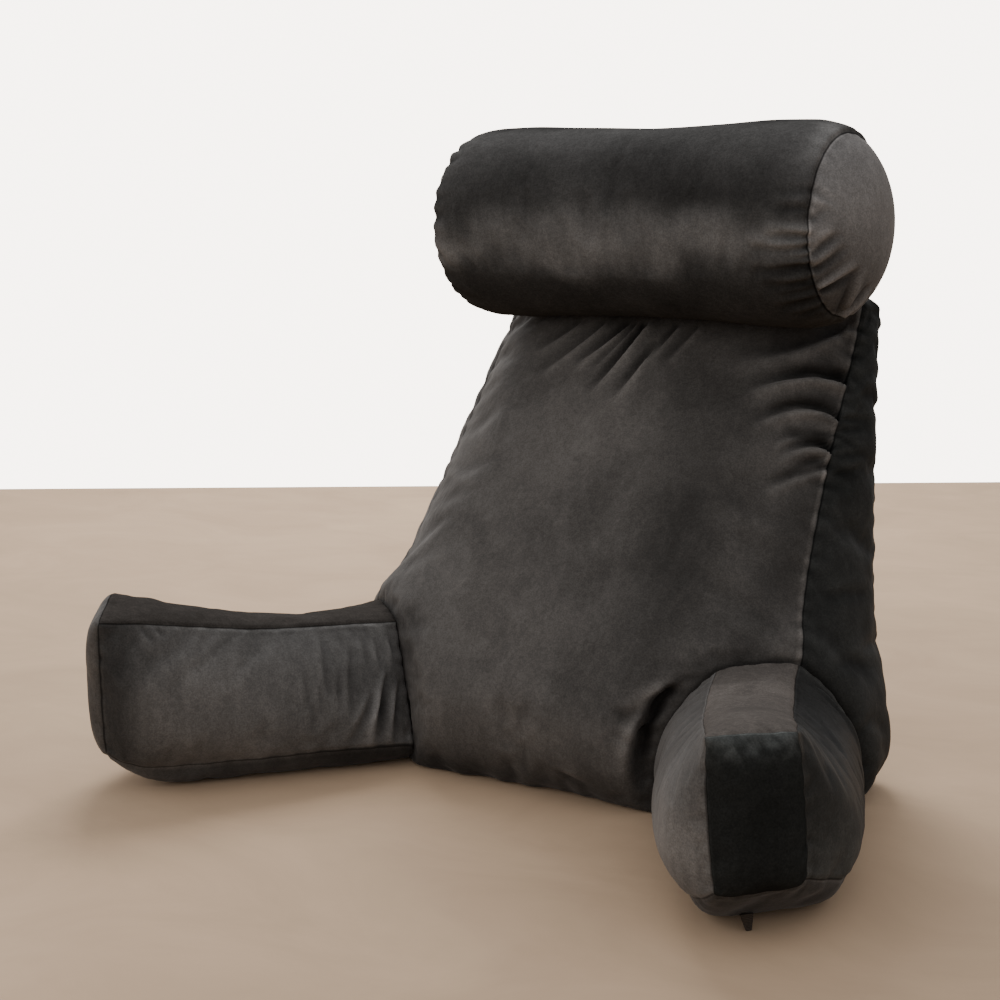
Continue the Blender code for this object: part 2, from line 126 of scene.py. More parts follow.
def nearSeam(points, seam):
    # how far each point is from a seam, and the nearest place along it
    gap = np.full(len(points), 1e3)
    place = np.zeros(len(points))
    travelled = 0.0
    for p, q in zip(seam[:-1], seam[1:]):
        step = q - p
        length = np.linalg.norm(step) + 1e-9
        share = np.clip((points - p) @ step / length**2, 0, 1)
        away = np.linalg.norm(points - p - share[:, None] * step, axis=1)
        nearer = away < gap
        gap[nearer] = away[nearer]
        place[nearer] = travelled + share[nearer] * length
        travelled += length
    return gap, place


def puckerLift(seed, gap, place, rows):
    # short folds square to a seam, uneven in spacing, reach, depth and lean; rows in mm
    random = np.random.default_rng(seed)
    lift = np.zeros(len(gap))
    for start, end, spacing, reach, depth in np.array(rows) / 1000:
        at = start + spacing * random.uniform(0.1, 0.9)
        while at < end:
            reachHere = reach * random.uniform(0.45, 1.35)
            depthHere = depth * random.uniform(0.35, 1.15)
            width = spacing * random.uniform(0.2, 0.36)
            lean = random.normal(0, 0.3)
            x = (place - at - lean * gap) / (width * (1 + 0.5 * gap / reachHere))
            profile = 0.45 * np.exp(-((x - 1.9) / 1.1) ** 2) - np.exp(-x * x)
            lift += depthHere * profile * np.exp(-(gap / reachHere) ** 1.6)
            at += spacing * random.uniform(0.6, 1.5)
    return lift


def clothMesh(name, points, quads, panels, materials):
    mesh = bpy.data.meshes.new(name)
    mesh.from_pydata((points - origin).tolist(), [], quads.tolist())
    for material in materials:
        mesh.materials.append(material)
    mesh.polygons.foreach_set("material_index", panels.astype(np.int32))
    mesh.update()
    mesh.shade_smooth()
    cushion = bpy.data.objects.new(name, mesh)
    scene.collection.objects.link(cushion)
    return cushion


def boxedCushion(name, rings, longSteps, shortSteps, endPush, materials, mirrored=False):
    # rings run along a long panel, a short one, the other long panel and the other short one;
    # panels 0 to 3 go round, 4 closes the start and 5 the end
    levels, count = rings.shape[:2]
    corner = longSteps + shortSteps
    ids = np.arange(levels * count).reshape(levels, count)
    after = np.roll(ids, -1, 1)
    points = [rings.reshape(-1, 3)]
    quads = [np.stack([ids[:-1], after[:-1], after[1:], ids[1:]], -1).reshape(-1, 4)]
    panels = [np.tile(np.repeat([0, 1, 2, 3], [longSteps, shortSteps, longSteps, shortSteps]), levels - 1)]
    total = levels * count

    def fourSides(ring):
        ring = np.concatenate([ring, ring[:1]])
        return (ring[:longSteps + 1], ring[corner:corner + longSteps + 1][::-1],
                ring[corner + longSteps:][::-1], ring[longSteps:corner + 1])

    for level, panel in ((0, 4), (levels - 1, 5)):
        grid = fillBetween(*fourSides(rings[level])) + (endPush if panel == 5 else 0)
        index = np.zeros((longSteps + 1, shortSteps + 1), int)
        index[:, 0], index[:, -1], index[0], index[-1] = fourSides(ids[level])
        inside = (longSteps - 1) * (shortSteps - 1)
        index[1:-1, 1:-1] = total + np.arange(inside).reshape(longSteps - 1, shortSteps - 1)
        total += inside
        points.append(grid[1:-1, 1:-1].reshape(-1, 3))
        patch = np.stack([index[:-1, :-1], index[1:, :-1], index[1:, 1:], index[:-1, 1:]], -1).reshape(-1, 4)
        quads.append(patch[:, ::-1] if panel == 4 else patch)
        panels.append(np.full(len(patch), panel))
    quads = np.concatenate(quads)
    cushion = clothMesh(name, np.concatenate(points), quads[:, ::-1] if mirrored else quads,
                        np.concatenate(panels), materials)
    seams = [rings[:, column] - origin for column in (0, longSteps, corner, corner + longSteps)]
    seams += [np.concatenate([rings[level], rings[level][:1]]) - origin for level in (0, levels - 1)]
    return cushion, seams


def meshPoints(cushion, kind="co"):
    values = np.empty(len(cushion.data.vertices) * 3)
    cushion.data.vertices.foreach_get(kind, values)
    return values.reshape(-1, 3)


def movePoints(cushion, points):
    cushion.data.vertices.foreach_set("co", points.ravel())
    cushion.data.update()


def onPanel(cushion, panel):
    # which points belong to a panel, its seams included
    mesh = cushion.data
    index = np.empty(len(mesh.polygons), np.int32)
    mesh.polygons.foreach_get("material_index", index)
    corners = np.empty(len(mesh.loops), np.int32)
    mesh.loops.foreach_get("vertex_index", corners)
    mask = np.zeros(len(mesh.vertices), bool)
    mask[corners.reshape(-1, 4)[index == panel].ravel()] = True
    return mask


def seamPoints(cushion):
    # which points lie where two panels meet
    meets = sum(onPanel(cushion, panel).astype(int) for panel in range(len(cushion.data.materials)))
    return meets > 1


def applyModifiers(cushion):
    graph = bpy.context.evaluated_depsgraph_get()
    made = bpy.data.meshes.new_from_object(cushion.evaluated_get(graph))
    old = cushion.data
    cushion.modifiers.clear()
    cushion.data = made
    bpy.data.meshes.remove(old)


def subdivide(cushion):
    finer = cushion.modifiers.new("finer", "SUBSURF")
    finer.levels = 1
    applyModifiers(cushion)


stuffing = {
    "frames": 18,
    "mostSwell": 0.0045,
    "cloth": {"quality": 4, "mass": 0.25, "tension_stiffness": 14, "compression_stiffness": 14,
              "shear_stiffness": 5, "bending_stiffness": 0.6, "use_pressure": True,
              "uniform_pressure_force": 4.0, "shrink_min": -0.022},
}


def stuff(cushion, heldPoints, ease=1.0):
    # cloth simulation: the cover is cut a little loose and blown up against its held seams;
    # ease is how much of the movement each point keeps
    before = meshPoints(cushion)
    seamed = cushion.vertex_groups.new(name="seamed")
    seamed.add([int(i) for i in np.flatnonzero(heldPoints)], 1.0, "REPLACE")
    cloth = cushion.modifiers.new("stuffing", "CLOTH")
    for name, value in stuffing["cloth"].items():
        setattr(cloth.settings, name, value)
    cloth.settings.vertex_group_mass = seamed.name
    cloth.settings.effector_weights.gravity = 0
    cloth.collision_settings.use_collision = False
    cloth.collision_settings.use_self_collision = False
    cloth.point_cache.frame_start = 1
    cloth.point_cache.frame_end = stuffing["frames"]
    for step in range(1, stuffing["frames"] + 1):
        scene.frame_set(step)
    applyModifiers(cushion)
    scene.frame_set(1)
    move = meshPoints(cushion) - before
    size = np.linalg.norm(move, axis=1, keepdims=True)
    most = stuffing["mostSwell"]
    print(f"  {cushion.name} swells up to {size.max() * 1000:.1f} mm, {size.mean() * 1000:.2f} on average")
    kept = ease * most * np.tanh(size / most) / np.maximum(size, 1e-9)
    movePoints(cushion, before + move * kept)


def standOut(cushion, values, rounds=9):
    # how far each point's values differ from those around it: above zero on ridges, below in folds
    edges = np.empty(len(cushion.data.edges) * 2, np.int32)
    cushion.data.edges.foreach_get("vertices", edges)
    a, b = edges.reshape(-1, 2).T
    size = len(values)
    count = np.bincount(a, minlength=size) + np.bincount(b, minlength=size)
    soft = values.copy()
    for _ in range(rounds):
        total = np.stack([np.bincount(a, column[b], size) + np.bincount(b, column[a], size)
                          for column in soft.T], 1)
        soft = 0.5 * soft + 0.5 * total / count[:, None]
    return values - soft


def writeValues(cushion, name, values):
    layer = cushion.data.attributes.new(name, "FLOAT", "POINT")
    layer.data.foreach_set("value", values.astype(np.float32))


seamFinish = {"grooveWidth": 0.0019, "lip": 0.0003, "lipWidth": 0.0024, "lipAway": 0.005,
              "gatherShade": 650, "swellShade": 300, "swellFrom": 0.003, "swellOver": 0.012,
              "toneLimits": (0.2, 2.4)}


def finishSurface(cushion, seams, puckers, lift, brushedAndShaded, groove):
    # gathers the cloth along the seams, paints shade in its hollows and highlight on its ridges,
    # and sinks the seams
    finish = seamFinish
    points, normals = meshPoints(cushion), meshPoints(cushion, "normal")
    gaps, gathers = [], np.zeros(len(points))
    for number, seam in enumerate(seams):
        gap, place = nearSeam(points, seam)
        gaps.append(gap)
        gathers += puckerLift(number + 1, gap, place, puckers.get(number, ()))
    nearest = np.min(gaps, 0)
    swell = (standOut(cushion, points) * normals).sum(1)
    swell *= np.clip((nearest - finish["swellFrom"]) / finish["swellOver"], 0, 1)
    gathered = standOut(cushion, gathers[:, None])[:, 0]
    # painted shade in gathers and hollows, painted highlight on ridges and swells
    relief = finish["gatherShade"] * gathered + finish["swellShade"] * swell
    tone = brushedAndShaded * np.clip(1 + relief, *finish["toneLimits"])
    lift = lift + gathers - groove * np.exp(-(nearest / finish["grooveWidth"]) ** 2)
    lift += finish["lip"] * np.exp(-((nearest - finish["lipAway"]) / finish["lipWidth"]) ** 2)
    movePoints(cushion, points + normals * lift[:, None])
    writeValues(cushion, "seamGap", np.where(seamPoints(cushion), 0, nearest))
    writeValues(cushion, "napAndPaintedLight", tone)


def napAndShadeMarks(rows, a, b):
    # soft patches of lighter or darker tone, for the nap and as painted shade and highlight:
    # middle and half sizes in mm, change of tone
    tone = np.ones(len(a))
    for *lengths, change in rows:
        a0, b0, sizeA, sizeB = np.array(lengths) / 1000
        tone *= 1 + change * np.exp(-((a - a0) / sizeA) ** 2 - ((b - b0) / sizeB) ** 2)
    return tone


def setInputs(tree, node, inputs):
    # another node's output is linked, a number or colour is set
    for name, value in inputs.items():
        socket = node.inputs[name]
        if isinstance(value, bpy.types.NodeSocket):
            tree.links.new(value, socket)
        else:
            socket.default_value = (*value, 1) if socket.type == "RGBA" else value


def addNode(tree, kind, inputs, **settings):
    node = tree.nodes.new("ShaderNode" + kind)
    for name, value in settings.items():
        setattr(node, name, value)
    setInputs(tree, node, inputs)
    return node


def mixColors(tree, factor, first, second):
    inputs = {"Factor": factor, 6: first, 7: second}
    return addNode(tree, "Mix", inputs, data_type="RGBA").outputs[2]


def newMaterial(name):
    material = bpy.data.materials.new(name)
    material.use_nodes = True
    return material, material.node_tree, material.node_tree.nodes["Principled BSDF"]


velourLook = {
    # noises: scale, detail, distortion; the patches' scale comes from their panel
    "patches": (3.5, 0.9), "strokes": (40, 4.5, 1.8, (1, 1, 0.3), 0.5), "grain": (620, 2.0, 0.3),
    "tuft": (190, 3.0, 0.8),
    # values between the first two numbers give what lies between the last two
    "patchMix": (0.36, 0.66, 0, 0.75), "strokeMix": (0.42, 0.68, 0, 0.35), "roughness": (0, 1, 0.66, 0.52),
    "grainTone": (0.3, 0.7, 0.84, 1.16), "tuftTone": (0.3, 0.7, 0.9, 1.1),
    "seamTone": (0.0003, 0.0014, 0.34, 1),
    "grainHeight": 0.00028, "tuftHeight": 0.0005, "patchHeight": 0.003, "strokeHeight": 0.0012,
    "bump": 0.55,
}


def velourPile():
    # brushed patches, fine grain and the dark line in a seam, shared by every velour panel
    tree = bpy.data.node_groups.new("velourPile", "ShaderNodeTree")
    for side, kind, names in (("INPUT", "Color", ("Pile", "Brushed")),
                              ("INPUT", "Float", ("Patch Scale", "Patch Shift")),
                              ("OUTPUT", "Color", ("Color",)), ("OUTPUT", "Float", ("Roughness", "Height"))):
        for name in names:
            tree.interface.new_socket(name, in_out=side, socket_type="NodeSocket" + kind)
    given = tree.nodes.new("NodeGroupInput").outputs
    place = addNode(tree, "TexCoord", {}).outputs["Object"]

    def mathNode(operation, first, second):
        return addNode(tree, "Math", {0: first, 1: second}, operation=operation).outputs[0]

    def mapRange(value, low, high, toLow, toHigh):
        inputs = {"Value": value, "From Min": low, "From Max": high, "To Min": toLow, "To Max": toHigh}
        return addNode(tree, "MapRange", inputs, interpolation_type="SMOOTHSTEP").outputs["Result"]

    def noise(scale, detail, distortion, stretch=(1, 1, 1), turn=0.0):
        mapping = addNode(tree, "Mapping", {"Vector": place, "Scale": stretch, "Rotation": (0, turn, 0)})
        inputs = {"Vector": mapping.outputs[0], "W": given["Patch Shift"], "Scale": scale, "Detail": detail,
                  "Distortion": distortion}
        return addNode(tree, "TexNoise", inputs, noise_dimensions="4D").outputs["Fac"]

    def storedValue(name):
        return addNode(tree, "Attribute", {}, attribute_name=name).outputs["Fac"]

    look = velourLook
    patches = noise(given["Patch Scale"], *look["patches"])
    strokes, grain, tuft = noise(*look["strokes"]), noise(*look["grain"]), noise(*look["tuft"])
    brushedAndShaded = mathNode("ADD", mapRange(patches, *look["patchMix"]), mapRange(strokes, *look["strokeMix"]))
    crease = mapRange(storedValue("seamGap"), *look["seamTone"])
    shade = mathNode("MULTIPLY", mapRange(grain, *look["grainTone"]), mapRange(tuft, *look["tuftTone"]))
    # the stored tone brings the nap's patches together with painted shade and highlight
    shade = mathNode("MULTIPLY", mathNode("MULTIPLY", shade, crease), storedValue("napAndPaintedLight"))
    mixed = mixColors(tree, brushedAndShaded, given["Pile"], given["Brushed"])
    relief = mathNode("MULTIPLY", grain, look["grainHeight"])
    for value, height in ((tuft, "tuftHeight"), (patches, "patchHeight"), (strokes, "strokeHeight")):
        relief = mathNode("ADD", relief, mathNode("MULTIPLY", value, look[height]))
    setInputs(tree, tree.nodes.new("NodeGroupOutput"), {
        "Color": addNode(tree, "VectorMath", {0: mixed, "Scale": shade}, operation="SCALE").outputs[0],
        "Roughness": mapRange(brushedAndShaded, *look["roughness"]),
        "Height": relief,
    })
    return tree


# each panel's tone is partly the nap's sheen and partly painted light: the disc painted lighter; the sides,
# the right arm's end, the top strips and the undersides painted darker
velourTones = {  # pile colour, brushed colour, sheen, gloss, size of the brushed patches
    "face": ((0.044, 0.0402, 0.0368), (0.066, 0.0603, 0.0552), 0.08, 0.06, 11),
    "arm": ((0.0445, 0.0421, 0.0398), (0.0668, 0.0632, 0.0597), 0.08, 0.06, 11),
    "topStrip": ((0.027, 0.0236, 0.0211), (0.038, 0.0333, 0.0299), 0.03, 0, 14),
    "side": ((0.0142, 0.0143, 0.0134), (0.0216, 0.0217, 0.0204), 0.02, 0.03, 9),
    "end": ((0.0124, 0.013, 0.0124), (0.0156, 0.0163, 0.0156), 0, 0, 12),
    "roll": ((0.05, 0.0485, 0.0468), (0.0705, 0.0684, 0.0662), 0, 0, 9),
    "disc": ((0.127, 0.1215, 0.118), (0.164, 0.157, 0.152), 0.06, 0, 9),
    "under": ((0.011, 0.0112, 0.0104), (0.016, 0.016, 0.0148), 0.02, 0.03, 10),
}
pileGroup = velourPile()
velours = {}


def velour(tone, shift):
    name = f"velour_{tone}_{shift}"
    if name in velours:
        return velours[name]
    pile, brushedAndShaded, sheen, gloss, patchScale = velourTones[tone]
    velours[name], tree, shader = newMaterial(name)
    inputs = {"Pile": pile, "Brushed": brushedAndShaded, "Patch Scale": patchScale, "Patch Shift": shift}
    group = addNode(tree, "Group", inputs, node_tree=pileGroup).outputs
    bump = addNode(tree, "Bump", {"Height": group["Height"], "Distance": 1, "Strength": velourLook["bump"]})
    setInputs(tree, shader, {
        "Base Color": group["Color"], "Roughness": group["Roughness"], "Normal": bump.outputs["Normal"],
        "Sheen Weight": sheen, "Sheen Roughness": 0.4, "Sheen Tint": (1.0, 0.93, 0.87),
        "Specular IOR Level": gloss})
    return velours[name]


# the arms' seams on the back cushion
armJoin = {
    "foot": (0.145, 0.0),
    "heading": 38.8,
    "fade": 0.04,  # how far outside an arm's outline the cloth is still drawn in
    "reach": 0.09,  # and how far behind the seam plane
    "rim": 0.004,
    "softness": 0.006,
    "gap": 0.0003,
    # painted shade in a dark line round an arm's root: strength, middle, width and how far behind the plane
    # it reaches
    "shade": (0.5, 0.001, 0.0028, 0.03),
}


def seamAxes(side):
    heading = math.radians(armJoin["heading"])
    c, s = math.cos(heading), math.sin(heading)
    return np.array(armJoin["foot"]) * (side, 1), np.array([side * c, s]), np.array([side * s, -c])


def distanceInside(polygon, u, v):
    # signed distance to a closed outline, above zero inside it
    best = np.full(u.shape, 1e9)
    inside = np.zeros(u.shape, bool)
    for (x0, y0), (x1, y1) in zip(polygon, np.roll(polygon, -1, 0)):
        dx, dy = x1 - x0, y1 - y0
        share = np.clip(((u - x0) * dx + (v - y0) * dy) / (dx * dx + dy * dy + 1e-12), 0, 1)
        best = np.minimum(best, np.hypot(u - x0 - share * dx, v - y0 - share * dy))
        crosses = (y0 > v) != (y1 > v)
        inside ^= crosses & (u < x0 + (v - y0) * dx / (dy if abs(dy) > 1e-12 else 1e-12))
    return np.where(inside, best, -best)


armCushion = {
    "faceSteps": 30, "gussetSteps": 16, "stations": 72,
    "tipCrown": 0.017,
    # crowns: how square and how steep, the upper half of a face flatter toward the top strip
    "tipShape": (4, 0.55), "upperShape": (2.2, 0.95), "underShape": (5, 0.55),
    "fill": 0.75,
    "groove": 0.0005,
    "ease": {0: 0.7, 1: 0.35, 2: 0.7, 3: 0.7, 5: 0.6},  # share of the swelling that a panel keeps
    # s: share of the way from seam to tip; x, y: middle of the top strip; turn: its heading
    "columns": "s x y turn halfTop footOut puffOut topCrown".split(),
    "rows": (
        (0, 0.2206, 0.0608, 38.8, 0.04, 0.082, 0.03, 0.004),
        (0.12, 0.233, 0.026, 39.5, 0.04, 0.09, 0.031, 0.006),
        (0.3, 0.256, -0.029, 42, 0.041, 0.096, 0.03, 0.008),
        (0.5, 0.282, -0.088, 45, 0.041, 0.098, 0.028, 0.009),
        (0.7, 0.308, -0.142, 48, 0.041, 0.095, 0.026, 0.009),
        (0.8, 0.321, -0.168, 50, 0.041, 0.092, 0.025, 0.008),
        (0.87, 0.331, -0.188, 51, 0.041, 0.087, 0.023, 0.007),
        (0.94, 0.341, -0.209, 53, 0.041, 0.074, 0.017, 0.005),
        (1, 0.35, -0.2275, 54, 0.041, 0.052, 0.002, 0.002),
    ),
    # the inner face's foot and crown and the heights, arm by arm
    "sideColumns": "s footIn puffIn topIn topOut footZ belly".split(),
    "sideRows": {
        -1: ((0, 0.112, 0.003, 0.138, 0.145, 0.024, 0), (0.12, 0.108, 0.014, 0.142, 0.141, 0.028, 0),
             (0.3, 0.092, 0.022, 0.147, 0.138, 0.029, 0), (0.5, 0.075, 0.026, 0.153, 0.146, 0.028, 0),
             (0.7, 0.059, 0.029, 0.163, 0.16, 0.028, 0), (0.8, 0.052, 0.028, 0.168, 0.168, 0.028, 0.002),
             (0.87, 0.047, 0.025, 0.172, 0.177, 0.029, 0.007),
             (0.94, 0.039, 0.016, 0.175, 0.184, 0.034, 0.02), (1, 0.03, 0.002, 0.178, 0.191, 0.043, 0.037)),
        1: ((0, 0.084, 0.026, 0.141, 0.146, 0.013, 0), (0.12, 0.074, 0.029, 0.141, 0.141, 0.019, 0),
            (0.3, 0.062, 0.03, 0.141, 0.139, 0.026, 0), (0.5, 0.06, 0.031, 0.147, 0.144, 0.028, 0),
            (0.7, 0.056, 0.03, 0.158, 0.155, 0.029, 0), (0.8, 0.052, 0.028, 0.165, 0.162, 0.03, 0.005),
            (0.87, 0.047, 0.025, 0.17, 0.167, 0.033, 0.014), (0.94, 0.039, 0.016, 0.175, 0.171, 0.041, 0.029),
            (1, 0.03, 0.002, 0.179, 0.174, 0.051, 0.046)),
    },
    # folds by side and panel, in mm out from the seam and of height, otherwise as on the back
    "folds": {
        (-1, 0): (
            (23, 92, 41, 22, 4.2, 5.5, 4, 0.4, 0.7),
            (9.5, 80, 21, 26, 3.6, 4.5, 3, 0.4, 0.7),
            (32, 75, 48, 40, 3, 2.2, 0, 0.3, 0.62),
            (44, 78, 72, 30, 3.8, 3.2, 1, 0.3, 0.7),
            (60, 122, 68, 58, 3.2, 2.2, 3, 0.3, 0.62),
            (91, 133, 91, 83, 3, 1.8, 1, 0.3, 0.62),
            (116, 117, 108, 58, 3.2, 1.5, 1, 0.3, 0.62),
            (100, 100, 99, 60, 2.6, 1.2, 1, 0.3, 0.62),
            (78, 110, 80, 64, 2.6, 1.4, 1, 0.3, 0.62),
            (30, 126, 29, 96, 2.8, 1.6, 0, 0.3, 0.62),
            (11.5, 125, 10.5, 98, 2.6, 1.4, 0, 0.3, 0.62),
            (45, 130, 44, 102, 2.6, 1.2, 0, 0.3, 0.62),
            (274, 168, 262, 152, 2.6, 1.2, 0, 0.5, 0.62),
            (262, 168, 250, 156, 2.4, 0.9, 0, 0.5, 0.62),
        ),
        (1, 0): (
            (14, 108, 12, 30, 3.8, 2.8, 6, 0.2, 0.4),
            (30, 95, 26, 35, 4.2, 2, 8, 0.2, 0.4),
        ),
        (1, 2): ((16, 126, 14, 45, 4.5, 4.5, 6, 0.5, 0.9),),
    },
    # painted shade and highlight with the nap's tone, by side and panel, on the strips with the way across in
    # place of the height
    "marks": {
        (-1, 0): ((120, 80, 600, 600, 0.85), (308, 110, 38, 200, -0.74),
                  (120, 160, 140, 28, -0.4), (75, 90, 60, 60, -0.32)),
        (-1, 1): ((160, 30, 600, 600, -0.05),),
        (-1, 2): ((160, 100, 900, 900, 1.1),),
        (-1, 3): ((160, 30, 600, 600, -0.15), (50, 30, 80, 200, -0.5), (300, 30, 50, 200, 0.7)),
        (-1, 5): ((0, 120, 600, 600, -0.15),),
        (1, 0): ((200, 100, 600, 600, 0.16), (260, 70, 100, 65, 0.7)),
        (1, 1): ((150, 50, 900, 900, 1.5), (110, 50, 55, 300, 0.5)),
        (1, 2): ((70, 100, 60, 200, -0.58), (270, 45, 80, 45, 1.25),
                 (165, 120, 55, 35, -0.45), (7, 90, 6, 50, 1.6)),
        (1, 3): ((250, 30, 600, 600, -0.35),),
    },
    # the right arm's end is painted dark for its nap's sheen and turns light again along a ragged line at the
    # top
    "raggedTop": {"height": 0.17, "softness": 0.0036, "light": 3.9, "wave": 0.005, "waveSize": 0.009},
    "puckers": {0: ((40, 360, 22, 16, 0.8),), 1: ((30, 360, 30, 14, 0.5),), 2: ((30, 360, 30, 14, 0.6),),
                3: ((40, 360, 22, 20, 1),), 4: ((0, 560, 16, 20, 0.8),), 5: ((0, 460, 17, 14, 0.9),)},
}


def armRings(side):
    sizes = armCushion
    even = np.linspace(0, 1, sizes["stations"] + 1)
    stations = 0.55 * even + 0.45 * (1 - np.cos(even * math.pi)) / 2
    row = readRows(sizes["columns"], sizes["rows"], stations)
    row.update(readRows(sizes["sideColumns"], sizes["sideRows"][side], stations))
    row = {key: value[:, None] for key, value in row.items()}
    face, gusset = spread(sizes["faceSteps"])[None], spread(sizes["gussetSteps"])[None]
    up, over = (face + 1) / 2, (gusset + 1) / 2
    bulge = np.where(face > 0, crown(face, *sizes["upperShape"]), crown(face))
    inner = row["footIn"] + up * (row["halfTop"] - row["footIn"]) + row["puffIn"] * bulge
    outer = row["footOut"] + up * (row["halfTop"] - row["footOut"]) + row["puffOut"] * bulge
    riseIn = row["footZ"] + up * (row["topIn"] - row["footZ"])
    riseOut = row["footZ"] + up * (row["topOut"] - row["footZ"])
    topZ = row["topIn"] + over * (row["topOut"] - row["topIn"]) + row["topCrown"] * crown(gusset)
    under = row["footOut"] - over * (row["footIn"] + row["footOut"])
    underZ = row["footZ"] - (row["footZ"] - row["belly"]) * crown(gusset, *sizes["underShape"])
    u = np.concatenate([-inner, row["halfTop"] * gusset[:, 1:], outer[:, ::-1][:, 1:], under[:, 1:-1]], 1)
    z = np.concatenate([riseIn, topZ[:, 1:], riseOut[:, ::-1][:, 1:], underZ[:, 1:-1]], 1)
    turn = np.radians(row["turn"])
    rings = np.stack([side * (row["x"] + u * np.cos(turn)), row["y"] + u * np.sin(turn), z], -1)
    foot, _, outward = seamAxes(side)
    rings[0, :, :2] -= np.outer((rings[0, :, :2] - foot) @ outward, outward)
    return rings


# the neck roll also shapes the back cushion under it
neckRoll = {
    "centre": (0.0, 0.243, 0.556),
    "radius": 0.1005,
    "half": 0.222,
    "yaw": -1.4,
    "seatGap": 0.0009,
    "endCrowns": {-1: 0.026, 1: 0.038},
    "endShape": (2.4, 0.8),
    "sides": 144, "stations": 96, "endRings": 18,
    "fill": 0.8,
    "groove": 0.0008,
    "seamRadius": 0.0925,  # at which the way round the tube is measured
    "pressBelow": 0.02,  # only what lies below this height over the middle is pressed
    # more room toward the end seams, by share of the half length
    "gatherRoom": ((0.68, 0.0002), (0.84, 0.0006), (0.93, 0.0013), (0.98, 0.0018)),
    "columns": ("along", "radius"),
    "rows": ((0, 0.975), (0.4, 0.995), (0.68, 1.022), (0.84, 1.02), (0.93, 0.985), (0.98, 0.94),
             (1, 0.905)),
    # pleats by the right end seam, in mm along the roll and the way round it, otherwise as on the back
    "pleats": (
        (222, 274.5, 190, 276, 4, 1.8, 1, 1, 0.65),
        (222, 300.3, 178, 302, 4.2, 3, 2, 1, 0.65),
        (222, 310.8, 160, 309, 4.2, 3.6, -2, 1, 0.65),
        (222, 320.5, 172, 321.5, 4, 2.6, 1, 1, 0.65),
        (222, 329.3, 163, 333, 4.5, 3.6, 2, 1, 0.65),
        (222, 343.9, 170, 346, 4.6, 3, -2, 1, 0.65),
        (222, 356, 182, 360, 4.5, 2.6, 2, 1, 0.6),
        (222, 369.4, 176, 374, 4.8, 3, 2, 1, 0.6),
        (222, 384.2, 190, 388, 4.5, 2.2, 1, 1, 0.6),
    ),
    # gathers by seam: start and end along it, their spacing, reach and depth
    "puckers": {0: ((0, 580, 17, 26, 3),),
                1: ((0, 240, 20, 18, 0.7), (240, 460, 18, 22, 2), (460, 580, 20, 20, 1.2))},
    # folds on the right disc from the pinched end of its seam, in mm across and up from its middle
    "discFolds": (
        (-13, -86, -3, -56, 4.2, 7.5, 0, 1, -0.6),
        (-22, -83, -38, -40, 5, 5, 4, 1, -0.5),
        (-84, -25, -66, -5, 4, 4, 1, 1, 0.4),
        (-80, -44, -56, -17, 4.2, 4, 1, 1, 0.4),
        (-64, -64, -30, -42, 4.5, 4.5, 2, 1, 0.4),
        (-92, 5, -76, 20, 3.6, 2.2, 0, 1, 0.4),
    ),
    # painted shade on the lower part of the right disc
    "discMarks": ((-30, -85, 75, 65, -0.62), (-75, -30, 20, 50, -0.35)),
    "hiddenDiscTone": 0.55,  # the left disc faces the lamp behind
    "wander": ((9.0, 0.16, 3), (3.0, 0.045, 4)),  # degrees that the bands of nap and painted light stray, patch size and seed
    # where the tube sinks in, in mm: along it and the way round, half sizes and depth
    "dents": ((20, 150, 70, 45, 2),),
    # painted light round the tube, partly the nap's sheen: a painted highlight band across the front and
    # painted shade underneath; degrees from the back over the top, and its tone
    "napAndLightRound": ((0, 0.5), (60, 0.35), (88, 0.35), (98, 0.62), (106, 0.9), (112, 0.94), (125, 0.92),
                 (135, 0.84), (144, 0.66), (152, 0.56), (158, 0.53), (164, 0.53), (170, 0.6), (176, 0.82),
                 (182, 1.12), (188, 1.42), (194, 1.5), (200, 1.24), (206, 0.8), (212, 0.52), (219, 0.44),
                 (227, 0.42), (237, 0.48), (255, 0.55), (300, 0.5), (360, 0.5)),
    # brushed patches on the tube, along it and the way round, with a painted highlight over the top by the
    # right end seam
    "tubeMarks": (
        (-210, 285, 25, 60, 0.4), (-50, 240, 50, 20, 0.25), (100, 262, 45, 12, -0.25),
        (-110, 330, 40, 12, 0.35), (160, 335, 30, 20, 0.25), (218, 155, 14, 70, 1.6),
    ),
}


def rollAxes():
    yaw = math.radians(neckRoll["yaw"])
    return np.array([math.cos(yaw), math.sin(yaw), 0]), np.array([-math.sin(yaw), math.cos(yaw), 0])


def pressUnderRoll(points, spare):
    # pushes points out of the space the roll fills and the spare gap around it
    along, across = rollAxes()
    offset = points - neckRoll["centre"]
    station, y, z = offset @ along, offset @ across, offset[:, 2]
    share = np.clip(np.abs(station) / neckRoll["half"], 0, 1)
    radius = neckRoll["radius"] * readRows(neckRoll["columns"], neckRoll["rows"], share)["radius"]
    radius = radius + np.interp(share, *zip(*neckRoll["gatherRoom"])) + spare
    crowns = np.where(station > 0, neckRoll["endCrowns"][1], neckRoll["endCrowns"][-1])
    past = np.clip((np.abs(station) - neckRoll["half"]) / crowns, 0, 1)
    radius = radius * np.sqrt(1 - past**2)
    reach = np.hypot(y, z)
    hit = (reach < radius) & (z < neckRoll["pressBelow"])
    push = np.where(hit, radius / np.maximum(reach, 1e-6), 1) - 1
    return points + np.outer(y * push, across) + np.outer(z * push, (0, 0, 1)), hit


